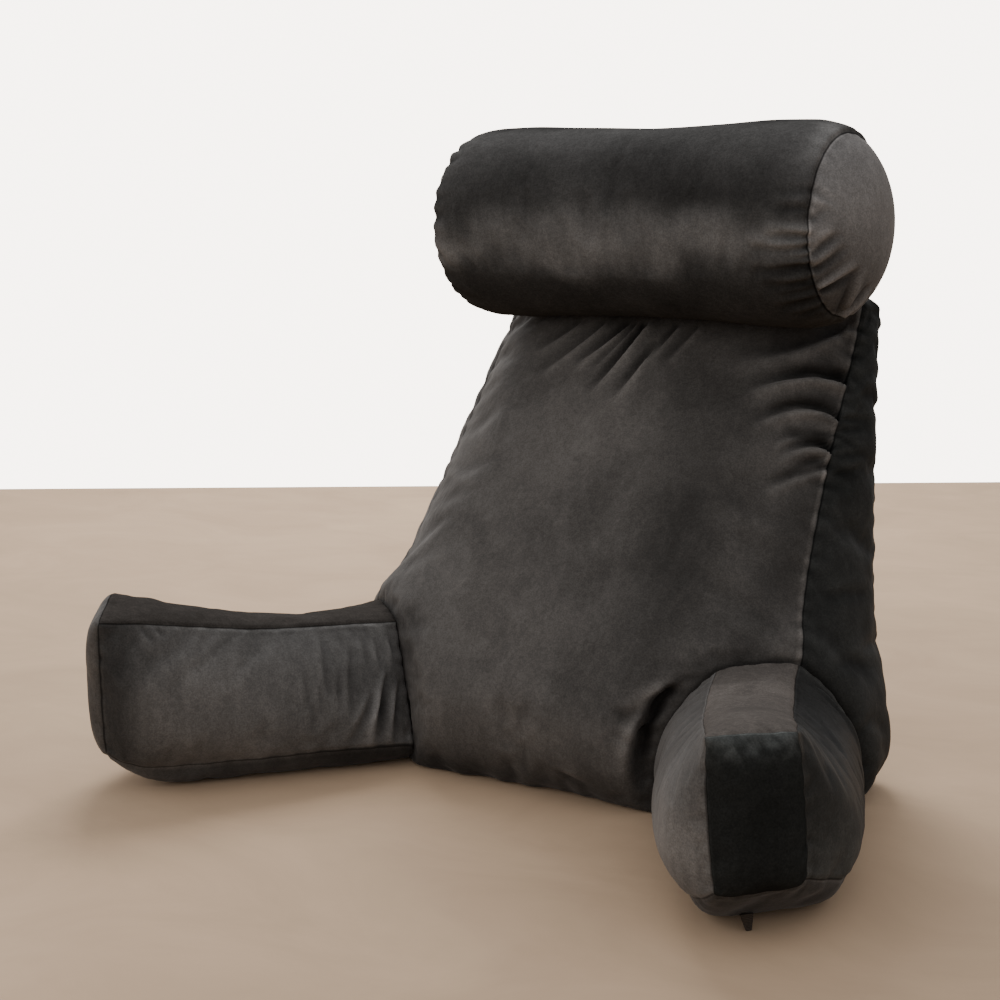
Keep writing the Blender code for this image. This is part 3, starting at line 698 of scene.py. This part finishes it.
backCushion = {
    "height": 0.48,
    "frontSteps": 84, "sideSteps": 22, "levels": 98,
    "fill": 0.8,
    "groove": 0.0009,
    "columns": "z seamX seamY frontCrown sideCrown rearX rearY rearCrown".split(),
    "rows": (
        (0, 0.252, 0.06, 0.066, 0.016, 0.256, 0.205, 0.004),
        (0.012, 0.266, 0.05, 0.07, 0.03, 0.27, 0.216, 0.01),
        (0.045, 0.272, 0.052, 0.082, 0.034, 0.277, 0.228, 0.02),
        (0.09, 0.262, 0.062, 0.09, 0.03, 0.273, 0.236, 0.028),
        (0.15, 0.248, 0.096, 0.088, 0.02, 0.262, 0.25, 0.034),
        (0.22, 0.234, 0.142, 0.08, 0.016, 0.251, 0.266, 0.036),
        (0.3, 0.225, 0.197, 0.07, 0.013, 0.241, 0.288, 0.034),
        (0.38, 0.218, 0.254, 0.058, 0.01, 0.231, 0.311, 0.028),
        (0.44, 0.213, 0.298, 0.044, 0.008, 0.223, 0.332, 0.018),
        (0.47, 0.21, 0.318, 0.026, 0.006, 0.217, 0.344, 0.01),
        (0.48, 0.204, 0.326, 0.008, 0.002, 0.208, 0.343, 0.003),
    ),
    # folds on the front, in mm of x and z: where each begins and ends, its width, depth and sideways bow;
    # then its strength at the start and the share of its depth that the lip rises, with the lip's side
    "frontFolds": (
        (219, 397, 130, 393.5, 5.8, 11, -12.5, 0.9, 0.6),
        (218, 365, 148, 362.5, 5.5, 11, -13.5, 0.8, 0.6),
        (221, 334, 182, 334.5, 4.8, 8.5, -7, 1, 0.58),
        (196, 348, 174, 346, 4, 3.5, -2, 0.6, 0.58),
        (219, 317, 176, 302, 4.5, 5, -2, 0.8, 0.6),
        (217, 326, 195, 318, 3.4, 3, 0, 0.8, 0.6),
        (200, 456, 106, 427, 7, 6, 9.5, 0.8, 0.3),
        (154, 120, 137, 21, 6, 15, -11, 0.6, -0.5),
        (158, 125, 124, 95, 5, 5.5, -3, 0.6, -0.4),
        (-16, 447, -48, 378, 4.6, 7, 1, 1, 0.45),
        (8, 430, -15, 376, 4.2, 6.2, 0, 0.4, 0.45),
        (-38, 448, -82, 406, 4.4, 5.5, 1, 1, 0.4),
        (-68, 448, -126, 392, 4.2, 3.2, 2, 1, 0.4),
        (24, 448, 6, 412, 3.6, 4, 0, 1, 0.4),
        (48, 447, 26, 410, 4, 2.6, 0, 1, 0.4),
        (-28, 447, -56, 402, 3.4, 3.4, 1, 1, 0.4),
        (-100, 448, -142, 418, 4, 2.6, 2, 1, 0.4),
        (-151, 62, -147, 18, 5, 4, 2, 0.4, 0.3),
        (54, 31, 80, 19, 4.5, 2.5, 0, 0.5, 0.3),
    ),
    # folds on the sides, in mm of y and z
    "sideFolds": (
        (132, 362, 182, 357, 3.5, 2.6, 1, 1, 0.5),
        (128, 350, 170, 352, 3.5, 2.2, 1, 1, 0.5),
        (120, 328, 158, 326, 3.5, 2, 1, 1, 0.5),
        (113, 310, 150, 314, 3.5, 2, 1, 1, 0.5),
        (50, 200, 120, 190, 6, 2, 3, 0.6, 0.4),
        (20, 140, 100, 120, 7, 2.4, 4, 0.6, 0.4),
    ),
    "topCrown": 0.004, "topShape": (6, 0.5), "frontShape": (3.4, 0.7),
    # the front draws in along its foot, and the edge there waves
    "footHollow": {"middle": 0.035, "halfWidth": 0.085, "halfHeight": 0.03, "depth": 0.014},
    "footWaves": {"depth": 0.003, "size": 0.03, "height": 0.012, "halfWidth": 0.1},
    "puckers": {0: ((80, 560, 20, 22, 1.6),), 1: ((80, 340, 18, 16, 1), (340, 540, 15, 22, 1.8)),
                2: ((20, 500, 24, 26, 2.2),), 3: ((20, 500, 24, 26, 2.2),), 5: ((0, 1100, 22, 14, 1.4),)},
    # a painted highlight on the lip beside the right front seam, broken by two waves and faint above its
    # height
    "lipLight": {"light": 1.9, "away": 0.003, "width": 0.0017, "waves": (210, 83), "height": (0.3, 0.35),
                 "above": 0.3},
    # patches on the front, in x and z: painted highlight on its left, painted shade toward the right, where
    # it turns from the light, and along its foot, partly the nap's sheen
    "frontMarks": (
        (120, 240, 42, 130, -0.43), (80, 370, 55, 55, -0.26), (215, 260, 22, 160, -0.42),
        (-60, 175, 60, 45, 0.4), (-20, 70, 160, 35, 0.28), (-60, 0, 300, 40, -0.28),
        (-100, 8, 60, 16, -0.55), (-100, 360, 120, 170, 0.18), (0, 355, 55, 50, 0.42),
    ),
}


def armOutline(points, side):
    # how far points lie in front of an arm's seam plane, and how deep inside the arm's outline on it
    foot, across, outward = seamAxes(side)
    outline = armRings(side)[0]
    polygon = np.stack([(outline[:, :2] - foot) @ across, outline[:, 2]], 1)
    flat = points[:, :2] - foot
    return flat @ outward, distanceInside(polygon, flat @ across, points[:, 2])


def rootShade(points):
    # painted shade: the dark line along the arms' seams on the back cushion
    tone = np.ones(len(points))
    shade, middle, width, reach = armJoin["shade"]
    for side in (-1, 1):
        off, inside = armOutline(points + origin, side)
        near = (points[:, 0] * side > 0) & (off > -reach)
        tone *= np.where(near, 1 - shade * np.exp(-((inside + middle) / width) ** 2), 1)
    return tone


def sewToArms(points):
    # draws the back cushion's cloth onto the two seam planes, inside each arm's outline
    moved = points.copy()
    held = np.zeros(len(points), bool)
    gap, softness = armJoin["gap"], armJoin["softness"]
    for side in (-1, 1):
        outward = seamAxes(side)[2]
        off, inside = armOutline(points, side)
        weight = np.clip(1 + inside / armJoin["fade"], 0, 1)
        weight = weight * weight * (3 - 2 * weight)
        behind = off + gap
        kept = 0.5 * (behind - np.sqrt(behind * behind + softness**2)) - gap
        target = kept * (1 - weight) - gap * weight
        beside = (points[:, 0] * side > 0) & (off > -armJoin["reach"])
        moved[:, :2] += np.outer(np.where(beside, target - off, 0), outward)
        held |= beside & (inside > -armJoin["rim"])
    return moved, held


def backRings():
    sizes = backCushion
    even = np.linspace(0, 1, sizes["levels"] + 1)
    levels = sizes["height"] * (0.6 * even + 0.4 * (1 - np.cos(even * math.pi)) / 2)
    row = readRows(sizes["columns"], sizes["rows"], levels)
    row = {key: value[:, None] for key, value in row.items()}
    front, side = spread(sizes["frontSteps"])[None], spread(sizes["sideSteps"])[None]
    share = (side + 1) / 2
    frontY = row["seamY"] - row["frontCrown"] * crown(front, *sizes["frontShape"])
    sideX = row["seamX"] + share * (row["rearX"] - row["seamX"]) + row["sideCrown"] * crown(side)
    sideY = row["seamY"] + share * (row["rearY"] - row["seamY"])
    rearY = row["rearY"] + row["rearCrown"] * crown(front)
    x = np.concatenate([row["seamX"] * front, sideX[:, 1:], -row["rearX"] * front[:, 1:],
                        -sideX[:, ::-1][:, 1:-1]], 1)
    y = np.concatenate([frontY, sideY[:, 1:], rearY[:, 1:], sideY[:, ::-1][:, 1:-1]], 1)
    z = np.broadcast_to(row["z"], x.shape)
    return np.stack([x, y, z], -1)


def drawFootIn(points, ringLength, sizes):
    hollow, waves = sizes["footHollow"], sizes["footWaves"]
    x, _, z = points.T
    inward = hollow["depth"] * np.exp(-(z / hollow["halfHeight"]) ** 2)
    inward *= np.exp(-((x - hollow["middle"]) / hollow["halfWidth"]) ** 2)
    edge = waves["depth"] * np.exp(-(z / waves["height"]) ** 2) * clouds(points * (1, 0, 0), waves["size"], 8)
    facing = np.arange(len(points)) % ringLength <= sizes["frontSteps"]
    moved = points.copy()
    moved[:, 1] += np.where(facing, inward + edge * (np.abs(x) < waves["halfWidth"]), 0)
    return moved


def buildBack():
    sizes = backCushion
    rings = backRings()
    shape = rings.shape
    points, held = sewToArms(rings.reshape(-1, 3))
    points = drawFootIn(points, shape[1], sizes)
    points, pressed = pressUnderRoll(points, neckRoll["seatGap"])
    lift = crown(spread(sizes["frontSteps"]), *sizes["topShape"])[:, None] * crown(spread(sizes["sideSteps"]))
    push = sizes["topCrown"] * lift[:, :, None] * np.array([0, 0, 1])
    velourPanels = [velour("face", 1), velour("side", 2), velour("face", 3), velour("face", 2),
                    velour("under", 4), velour("under", 4)]
    cushion, seams = boxedCushion("back_cushion_velour", points.reshape(shape), sizes["frontSteps"],
                                  sizes["sideSteps"], push, velourPanels)
    heldPoints = seamPoints(cushion) | onPanel(cushion, 4)
    heldPoints[:len(points)] |= held | pressed
    stuff(cushion, heldPoints)
    subdivide(cushion)
    points, front, sides = meshPoints(cushion), onPanel(cushion, 0), onPanel(cushion, 1)
    x, y, z = points.T
    frontRise, frontTone = handFolds(sizes["frontFolds"], x, z)
    sideRise, sideTone = handFolds(sizes["sideFolds"], y, z)
    lift = np.where(front, frontRise, np.where(sides, sideRise, 0))
    lip = sizes["lipLight"]
    gap, place = nearSeam(points, seams[1])
    short, long = lip["waves"]
    broken = 0.6 + 0.4 * np.sin(place * short) * np.sin(place * long + 1)
    broken *= np.interp(z, lip["height"], (1, lip["above"]))
    # painted highlight on the lip beside the seam
    lipLight = 1 + lip["light"] * broken * np.exp(-((gap - lip["away"]) / lip["width"]) ** 2)
    tone = np.where(front, frontTone * napAndShadeMarks(sizes["frontMarks"], x, z) * lipLight, 1)
    tone *= np.where(sides & ~front, sideTone, 1) * rootShade(points)
    finishSurface(cushion, seams, sizes["puckers"], lift, tone, sizes["groove"])
    points = pressUnderRoll(meshPoints(cushion) + origin, neckRoll["seatGap"])[0] - origin
    points[:, 2] = np.maximum(points[:, 2], 0)
    movePoints(cushion, points)
    return cushion


def buildArm(name, side):
    sizes = armCushion
    rings = armRings(side)
    lift = (crown(spread(sizes["faceSteps"]), *sizes["tipShape"])[:, None]
            * crown(spread(sizes["gussetSteps"]), *sizes["tipShape"])[None])
    turn = math.radians(sizes["rows"][-1][3])
    push = sizes["tipCrown"] * lift[:, :, None] * np.array([side * math.sin(turn), -math.cos(turn), 0])
    velourPanels = [velour("arm", 5 + side), velour("topStrip", 7 + side), velour("side", 9 + side),
                    velour("arm", 6), velour("under", 4), velour("end" if side > 0 else "face", 11 + side)]
    cushion, seams = boxedCushion(name, rings, sizes["faceSteps"], sizes["gussetSteps"], push,
                                  velourPanels, mirrored=side > 0)
    ease = np.ones(len(cushion.data.vertices))
    for panel, share in sizes["ease"].items():
        ease[onPanel(cushion, panel)] = share
    stuff(cushion, seamPoints(cushion) | onPanel(cushion, 4), ease[:, None])
    subdivide(cushion)
    points = meshPoints(cushion)
    foot, acrossSeam, outward = seamAxes(side)
    flat = points[:, :2] + origin[:2] - foot
    out, over, z = flat @ outward, flat @ acrossSeam, points[:, 2]
    lift, tone = np.zeros(len(points)), np.ones(len(points))
    for panel in (0, 1, 2, 3, 5):
        mask = onPanel(cushion, panel)
        a, b = {1: (out, over), 3: (out, over), 5: (over, z)}.get(panel, (out, z))
        foldRise, foldTone = handFolds(sizes["folds"].get((side, panel), ()), a, b)
        lift += np.where(mask, foldRise, 0)
        tone *= np.where(mask, foldTone * napAndShadeMarks(sizes["marks"].get((side, panel), ()), a, b), 1)
    if side > 0:
        # painted light returning along the top of the dark end
        ragged = sizes["raggedTop"]
        line = ragged["height"] + ragged["wave"] * clouds(points, ragged["waveSize"], 5)
        top = 1 / (1 + np.exp((line - z) / ragged["softness"]))
        tone *= np.where(onPanel(cushion, 5), 1 + (ragged["light"] - 1) * top, 1)
    finishSurface(cushion, seams, sizes["puckers"], lift, tone, sizes["groove"])
    points = meshPoints(cushion)
    points[:, 2] = np.maximum(points[:, 2], 0)
    movePoints(cushion, points)
    return cushion


def buildRoll():
    sizes = neckRoll
    along, across = rollAxes()
    even = np.linspace(-1, 1, sizes["stations"] + 1)
    stations = 0.5 * even + 0.5 * np.sin(even * math.pi / 2)
    radii = sizes["radius"] * readRows(sizes["columns"], sizes["rows"], np.abs(stations))["radius"]
    angle = np.arange(sizes["sides"]) * 2 * math.pi / sizes["sides"]
    circle = np.outer(np.cos(angle), across) + np.outer(np.sin(angle), (0, 0, 1))
    centre = np.array(sizes["centre"])
    tube = centre + stations[:, None, None] * sizes["half"] * along + radii[:, None, None] * circle
    caps = {}
    square, steep = sizes["endShape"]
    share = 1 - np.arange(1, sizes["endRings"]) / sizes["endRings"]
    for end in (-1, 1):
        rise = sizes["endCrowns"][end] * (1 - share**square) ** steep
        caps[end] = (centre + end * (sizes["half"] + rise)[:, None, None] * along
                     + (radii[0] * share)[:, None, None] * circle)
    rings = np.concatenate([caps[-1][::-1], tube, caps[1]])
    count, levels = sizes["sides"], len(rings)
    ids = np.arange(levels * count).reshape(levels, count)
    after = np.roll(ids, -1, 1)
    quads = np.stack([ids[:-1], after[:-1], after[1:], ids[1:]], -1).reshape(-1, 4)
    capLevels = sizes["endRings"] - 1
    levelOf = np.repeat(np.arange(levels - 1), count)
    panels = np.where((levelOf < capLevels) | (levelOf >= levels - 1 - capLevels), 1, 0)
    points, quads, panels = [rings.reshape(-1, 3)], [quads], [panels]
    for end, level in ((-1, 0), (1, levels - 1)):  # closes the last hole of each disc round its middle
        hub = levels * count + (end > 0)
        points.append((centre + end * (sizes["half"] + sizes["endCrowns"][end]) * along)[None])
        ring = ids[level]
        fan = np.stack([ring[0::2], ring[1::2], np.roll(ring, -2)[0::2], np.full(count // 2, hub)], -1)
        quads.append(fan[:, ::-1] if end < 0 else fan)
        panels.append(np.ones(len(fan), int))
    cushion = clothMesh("neck_roll_velour", np.concatenate(points), np.concatenate(quads),
                        np.concatenate(panels), [velour("roll", 13), velour("disc", 14)])
    seams = [np.concatenate([rings[level], rings[level][:1]]) - origin
             for level in (capLevels, levels - 1 - capLevels)]
    underside = meshPoints(cushion)[:, 2] < sizes["centre"][2] - 0.5 * sizes["radius"]
    stuff(cushion, seamPoints(cushion) | underside | onPanel(cushion, 1))
    subdivide(cushion)
    points, tubeMask = meshPoints(cushion), onPanel(cushion, 0)
    offset = points + origin - centre
    out = offset @ along
    turn = np.degrees(np.arctan2(offset[:, 2], offset @ across)) % 360
    arc = np.radians(turn) * sizes["seamRadius"]
    disc = onPanel(cushion, 1) & (out > 0)
    discPlace = (offset @ across, offset[:, 2])
    pleatRise, pleatTone = handFolds(sizes["pleats"], out, arc)
    discRise, discTone = handFolds(sizes["discFolds"], *discPlace)
    # bands of painted highlight and shade round the tube, partly the nap's sheen
    bandTurn = turn.copy()
    for stray, patchSize, seed in sizes["wander"]:
        bandTurn += stray * clouds(points, patchSize, seed)
    roundTone = np.interp(bandTurn, *zip(*sizes["napAndLightRound"])) * napAndShadeMarks(sizes["tubeMarks"], out, arc)
    for at, way, sizeAlong, sizeWay, depth in np.array(sizes["dents"]) / 1000:
        pleatRise -= depth * np.exp(-((out - at) / sizeAlong) ** 2 - ((arc - way) / sizeWay) ** 2)
    lift = np.where(tubeMask, pleatRise, np.where(disc, discRise, 0))
    tone = np.where(tubeMask, pleatTone * roundTone, 1)
    tone *= np.where(disc & ~tubeMask, discTone * napAndShadeMarks(sizes["discMarks"], *discPlace), 1)
    tone *= np.where(disc | tubeMask, 1, sizes["hiddenDiscTone"])
    finishSurface(cushion, seams, sizes["puckers"], lift, tone, sizes["groove"])
    return cushion


tabTones = {"groove": (0.026, 0.018, 0.013), "rib": (0.052, 0.038, 0.028)}


def tabTape():
    # a dark brown ribbed tape
    material, tree, shader = newMaterial("tab_tape")
    place = addNode(tree, "TexCoord", {}).outputs["Object"]
    inputs = {"Vector": place, "Scale": 260, "Distortion": 1.2, "Detail": 2.0}
    ribs = addNode(tree, "TexWave", inputs, bands_direction="Z").outputs["Fac"]
    bump = addNode(tree, "Bump", {"Height": ribs, "Distance": 0.0004})
    setInputs(tree, shader, {
        "Base Color": mixColors(tree, ribs, tabTones["groove"], tabTones["rib"]),
        "Normal": bump.outputs["Normal"], "Roughness": 0.8, "Specular IOR Level": 0.2})
    return material


back = buildBack()
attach(back, "root")
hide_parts("back_cushion")
print("back cushion:", len(back.data.polygons), "faces")

for side, name in ((-1, "arm_left"), (1, "arm_right")):
    arm = buildArm(name + "_velour", side)
    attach(arm, "root")
    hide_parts(name)
    print(name, len(arm.data.polygons), "faces")

roll = buildRoll()
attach(roll, "root")
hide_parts("neck_roll")
print("neck roll:", len(roll.data.polygons), "faces")

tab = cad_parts["pull_tab"]
tab.data.materials.clear()
tab.data.materials.append(tabTape())
print("pull tab dressed")

studio = {
    "cameraPlace": (0.88725, -1.48327, 0.5746),
    "cameraTurn": (90 - 9.732, 0, 33.634),
    "lens": 61.524,
    "wallLeft": (-1.903, 0.846),  # the floor's far edge, where the white backdrop begins
    "wallRight": (-0.211, 2.081),
    "floorSide": 6,  # how far the floor runs on past those corners
    "floorDepth": 9,  # and toward the camera
    "backdrop": (0.975, 0.9, 0.82),
    "backdropStrength": 7.0,  # as the camera sees it
    "roomColor": (0.905, 0.91, 0.93),
    "roomStrength": 1.0,  # as it lights the cushions
    "floorColor": (0.468, 0.33, 0.218),
    "floorMottle": (0.398, 0.279, 0.183),
    # lamps: place, aim, size, watts
    "lamps": (
        ((-1.2, -2.4, 1.4), (0, 0, 0.3), 2, 18),
        ((-1.25, 1.6, 2.2), (0, 0, 0.3), 1.5, 90),
    ),
}


def buildStudio():
    camera = bpy.data.objects.new("camera", bpy.data.cameras.new("camera"))
    camera.location = studio["cameraPlace"]
    camera.rotation_euler = [math.radians(v) for v in studio["cameraTurn"]]
    camera.data.lens = studio["lens"]
    camera.data.sensor_width = 36
    scene.collection.objects.link(camera)
    scene.camera = camera

    left, right = np.array(studio["wallLeft"]), np.array(studio["wallRight"])
    run = (right - left) / np.linalg.norm(right - left)
    toward = np.array([run[1], -run[0]])
    left, right = left - studio["floorSide"] * run, right + studio["floorSide"] * run
    corners = [left, right, right + studio["floorDepth"] * toward, left + studio["floorDepth"] * toward]
    mesh = bpy.data.meshes.new("floor")
    mesh.from_pydata([(*corner, 0) for corner in corners], [], [(0, 3, 2, 1)])
    floor = bpy.data.objects.new("floor", mesh)
    scene.collection.objects.link(floor)
    mesh.materials.append(floorConcrete())

    world = bpy.data.worlds.new("studio")
    scene.world = world
    world.use_nodes = True
    tree = world.node_tree
    seen = addNode(tree, "LightPath", {}).outputs["Is Camera Ray"]
    tint = mixColors(tree, seen, studio["roomColor"], studio["backdrop"])
    inputs = {"Value": seen, "To Min": studio["roomStrength"], "To Max": studio["backdropStrength"]}
    strength = addNode(tree, "MapRange", inputs).outputs["Result"]
    setInputs(tree, tree.nodes["Background"], {"Color": tint, "Strength": strength})

    for i, (place, aim, size, watts) in enumerate(studio["lamps"]):
        lamp = bpy.data.objects.new(f"softbox_{i}", bpy.data.lights.new(f"softbox_{i}", "AREA"))
        lamp.data.size = size
        lamp.data.energy = watts
        lamp.location = place
        direction = np.array(aim) - place
        lamp.rotation_euler = (math.atan2(math.hypot(*direction[:2]), -direction[2]), 0,
                               math.atan2(direction[1], direction[0]) - math.pi / 2)
        scene.collection.objects.link(lamp)


def floorConcrete():
    material, tree, shader = newMaterial("floorConcrete")
    place = addNode(tree, "TexCoord", {}).outputs["Object"]
    inputs = {"Vector": place, "Rotation": (0, 0, math.radians(-33)), "Scale": (1, 1.5, 1)}
    stretch = addNode(tree, "Mapping", inputs).outputs[0]
    inputs = {"Vector": stretch, "Scale": 4.0, "Detail": 7.0, "Roughness": 0.62, "Distortion": 0.7}
    cloudy = addNode(tree, "TexNoise", inputs).outputs["Fac"]
    ramp = addNode(tree, "MapRange", {"Value": cloudy, "From Min": 0.3, "From Max": 0.7}).outputs["Result"]
    setInputs(tree, shader, {
        "Base Color": mixColors(tree, ramp, studio["floorMottle"], studio["floorColor"]),
        "Roughness": 0.75, "Specular IOR Level": 0.1})
    return material


buildStudio()
print("studio ready")
